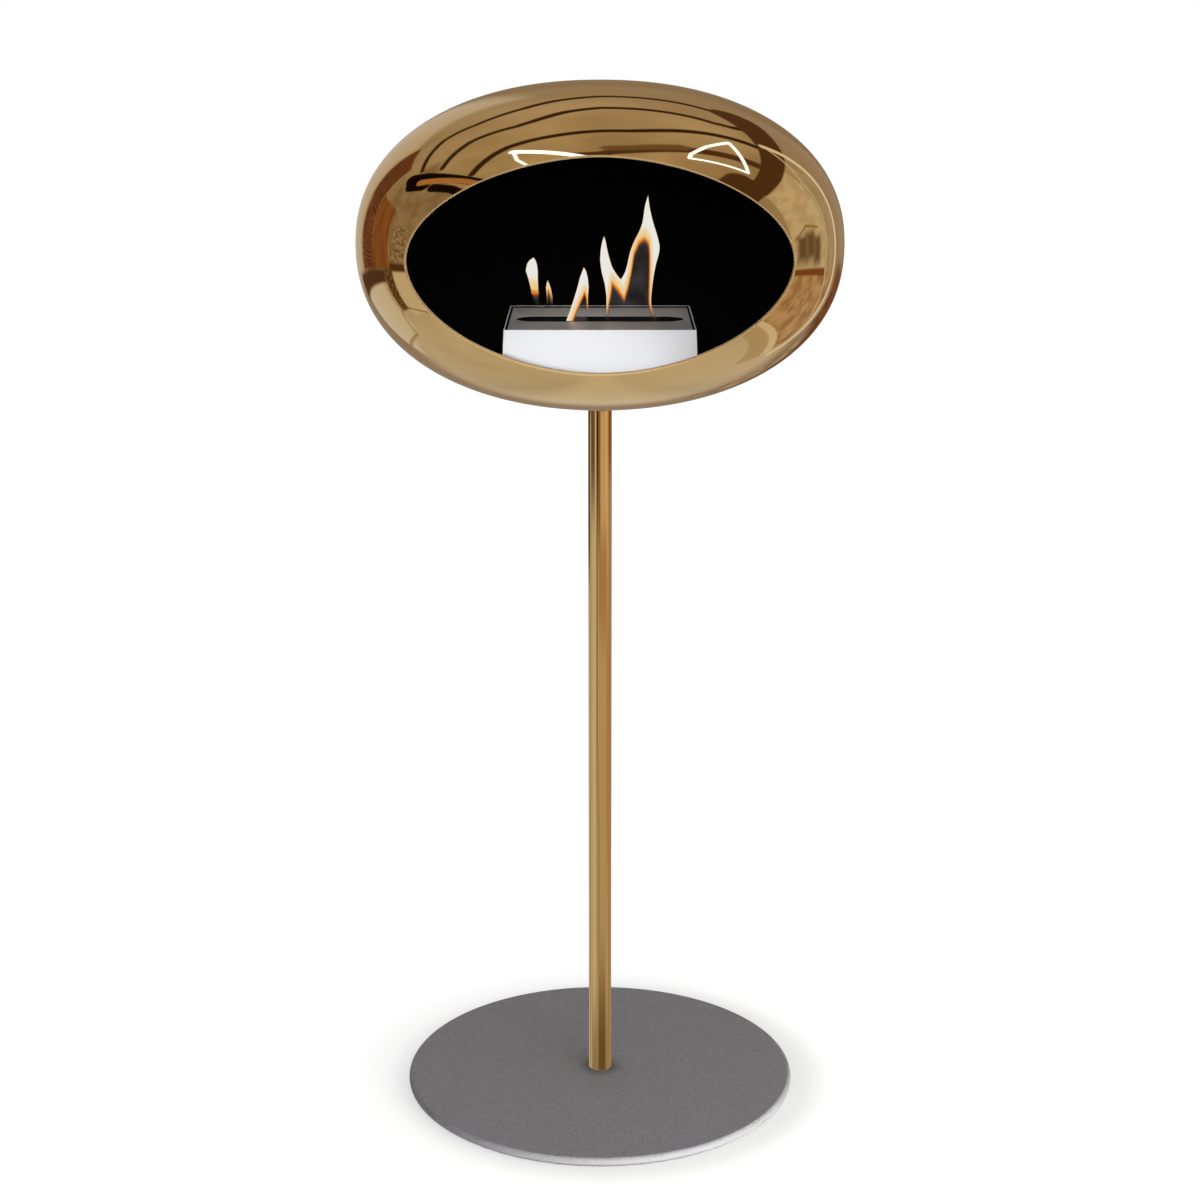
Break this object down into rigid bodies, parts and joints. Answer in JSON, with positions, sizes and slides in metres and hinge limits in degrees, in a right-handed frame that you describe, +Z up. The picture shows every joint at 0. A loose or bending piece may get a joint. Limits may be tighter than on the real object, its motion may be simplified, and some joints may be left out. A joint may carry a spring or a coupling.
{
  "type": "bioethanol fireplace",
  "caption": "Free-standing bioethanol fireplace: an egg-shaped polished dome with an oval mouth turns on a slim pole over a round floor plate, and a slotted burner lifts out of it.",
  "frame": {"origin": "on the floor, on the axis of the pole, at the centre of the floor plate's underside", "axes": "+Z up along the pole, the mouth of the dome faces -Y, +X to the right of someone who looks into the mouth"},
  "size_m": [0.6, 0.558, 1.318],
  "materials": {
    "polished_gold": "mirror-polished gold colour on spun steel",
    "black_enamel": "matt black heat-resistant paint",
    "grey_powder_coat": "fine-textured dark grey powder coat",
    "stainless": "bright satin stainless steel",
    "brushed_plate": "heat-toned brushed stainless steel",
    "zinc_steel": "zinc-plated steel",
    "bronze": "plain bearing bronze",
    "black_rubber": "matt black rubber",
    "ceramic_fibre": "soft off-white ceramic fibre"
  },
  "bodies": {
    "stand": {"floor_pad_ring": "black_rubber", "base_bolt_cap": "black_rubber", "base_plate": "grey_powder_coat", "base_bolt": "zinc_steel", "base_washer": "zinc_steel", "pole_foot_plug": "zinc_steel", "pole_tube": "polished_gold", "pole_head_plug": "zinc_steel", "swivel_spindle": "zinc_steel", "thrust_washer": "bronze", "top_washer": "zinc_steel", "disc_spring": "zinc_steel", "lock_nut": "zinc_steel"},
    "dome": {"dome_upper_skin": "polished_gold", "dome_lower_skin": "polished_gold", "dome_liner": "black_enamel", "mouth_lip_ring": "polished_gold", "insulation_blanket": "ceramic_fibre", "hub_spacer_ring": "zinc_steel", "dome_hub": "zinc_steel", "hub_ring_nut": "polished_gold", "swivel_bush": "bronze", "burner_tray": "black_enamel", "tray_standoff_1": "zinc_steel", "tray_standoff_2": "zinc_steel", "tray_standoff_3": "zinc_steel", "tray_screw_1": "zinc_steel", "tray_screw_2": "zinc_steel", "tray_screw_3": "zinc_steel"},
    "burner": {"burner_housing": "stainless", "top_plate": "brushed_plate", "rail_left": "zinc_steel", "rail_right": "zinc_steel", "fuel_tank": "stainless", "wick_block": "ceramic_fibre", "wick_screen": "zinc_steel", "tank_spacer_left": "zinc_steel", "tank_spacer_right": "zinc_steel", "burner_foot_1": "black_rubber", "burner_foot_2": "black_rubber", "burner_foot_3": "black_rubber", "burner_foot_4": "black_rubber"},
    "damper": {"damper": "brushed_plate"}
  },
  "joints": [
    {"name": "dome_swivel", "type": "hinge", "parent": "stand", "child": "dome", "pos_m": [0, 0, 0.918], "axis": [0, 0, 1], "continuous": true},
    {"name": "burner_lift", "type": "slide", "parent": "dome", "child": "burner", "axis": [0, -0.9026, 0.4305], "range_m": [0, 0.48]},
    {"name": "damper_slide", "type": "slide", "parent": "burner", "child": "damper", "axis": [0, 1, 0], "range_m": [0, 0.058]}
  ]
}
